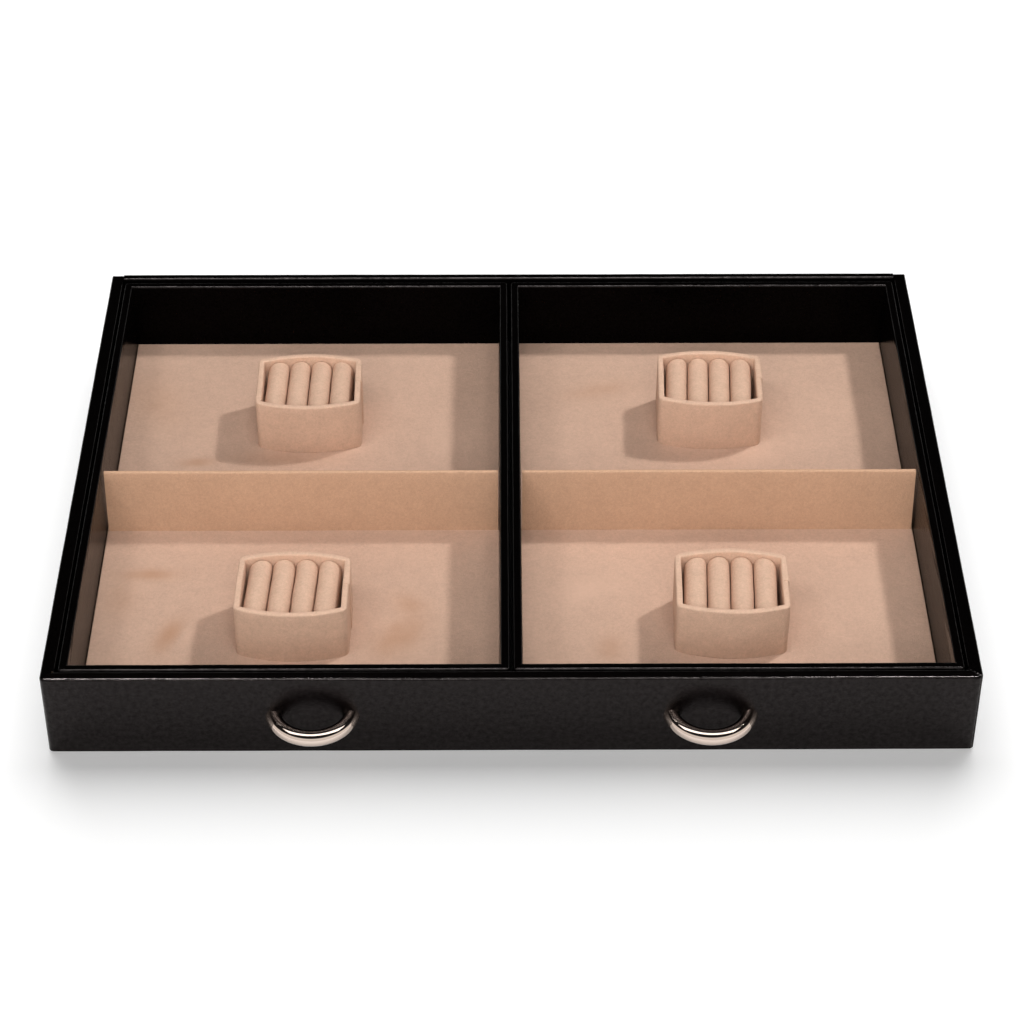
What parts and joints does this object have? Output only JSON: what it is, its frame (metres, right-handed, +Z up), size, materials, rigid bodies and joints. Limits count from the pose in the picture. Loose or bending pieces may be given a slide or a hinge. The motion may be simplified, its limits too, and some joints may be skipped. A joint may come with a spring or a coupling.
{
  "type": "cufflink drawer",
  "caption": "Leather-covered jewellery drawer with half-ring pulls and lift-out trays, each divided crosswise and carrying loose suede holders with round-topped cushions.",
  "frame": {"origin": "centre of the drawer's underside, midway between its side walls and between its front and rear faces", "axes": "+Z up out of the open drawer, -Y towards the front with the pulls, +X to the right seen from the front"},
  "size_m": [0.4, 0.3167, 0.0425],
  "materials": {
    "black_leather": "semi-gloss, finely grained",
    "tray_suede": "suede",
    "holder_suede": "suede",
    "black_cloth": "matt",
    "board": "raw fibreboard",
    "polished_pull": "polished",
    "screw_steel": "zinc-plated"
  },
  "bodies": {
    "drawer": {"drawer_front_board": "board", "drawer_rear_board": "board", "drawer_left_board": "board", "drawer_right_board": "board", "drawer_front_leather": "black_leather", "drawer_rear_leather": "black_leather", "drawer_left_leather": "black_leather", "drawer_right_leather": "black_leather", "drawer_base_board": "board", "drawer_floor_lining": "black_cloth", "drawer_underside_cloth": "black_cloth", "front_pulls": "polished_pull", "pull_screws": "screw_steel"},
    "tray_left": {"tray_left_front_wall": "board", "tray_left_rear_wall": "board", "tray_left_outer_wall": "board", "tray_left_middle_wall": "board", "tray_left_base": "board", "tray_left_leather": "black_leather", "tray_left_divider": "tray_suede", "tray_left_front_floor": "tray_suede", "tray_left_rear_floor": "tray_suede"},
    "tray_right": {"tray_right_front_wall": "board", "tray_right_rear_wall": "board", "tray_right_outer_wall": "board", "tray_right_middle_wall": "board", "tray_right_base": "board", "tray_right_leather": "black_leather", "tray_right_divider": "tray_suede", "tray_right_front_floor": "tray_suede", "tray_right_rear_floor": "tray_suede"},
    "holder_left_front": {"holder_left_front_wall": "holder_suede", "holder_left_front_base": "holder_suede", "holder_left_front_cushion_1": "holder_suede", "holder_left_front_cushion_2": "holder_suede", "holder_left_front_cushion_3": "holder_suede", "holder_left_front_cushion_4": "holder_suede"},
    "holder_left_rear": {"holder_left_rear_wall": "holder_suede", "holder_left_rear_base": "holder_suede", "holder_left_rear_cushion_1": "holder_suede", "holder_left_rear_cushion_2": "holder_suede", "holder_left_rear_cushion_3": "holder_suede", "holder_left_rear_cushion_4": "holder_suede"},
    "holder_right_front": {"holder_right_front_wall": "holder_suede", "holder_right_front_base": "holder_suede", "holder_right_front_cushion_1": "holder_suede", "holder_right_front_cushion_2": "holder_suede", "holder_right_front_cushion_3": "holder_suede", "holder_right_front_cushion_4": "holder_suede"},
    "holder_right_rear": {"holder_right_rear_wall": "holder_suede", "holder_right_rear_base": "holder_suede", "holder_right_rear_cushion_1": "holder_suede", "holder_right_rear_cushion_2": "holder_suede", "holder_right_rear_cushion_3": "holder_suede", "holder_right_rear_cushion_4": "holder_suede"}
  },
  "joints": [
    {"name": "tray_left_lift", "type": "slide", "parent": "drawer", "child": "tray_left", "axis": [0, 0, 1], "range_m": [0, 0.045]},
    {"name": "tray_right_lift", "type": "slide", "parent": "drawer", "child": "tray_right", "axis": [0, 0, 1], "range_m": [0, 0.045]},
    {"name": "holder_left_front_lift", "type": "slide", "parent": "tray_left", "child": "holder_left_front", "axis": [0, 0, 1], "range_m": [0, 0.045]},
    {"name": "holder_left_rear_lift", "type": "slide", "parent": "tray_left", "child": "holder_left_rear", "axis": [0, 0, 1], "range_m": [0, 0.045]},
    {"name": "holder_right_front_lift", "type": "slide", "parent": "tray_right", "child": "holder_right_front", "axis": [0, 0, 1], "range_m": [0, 0.045]},
    {"name": "holder_right_rear_lift", "type": "slide", "parent": "tray_right", "child": "holder_right_rear", "axis": [0, 0, 1], "range_m": [0, 0.045]}
  ]
}
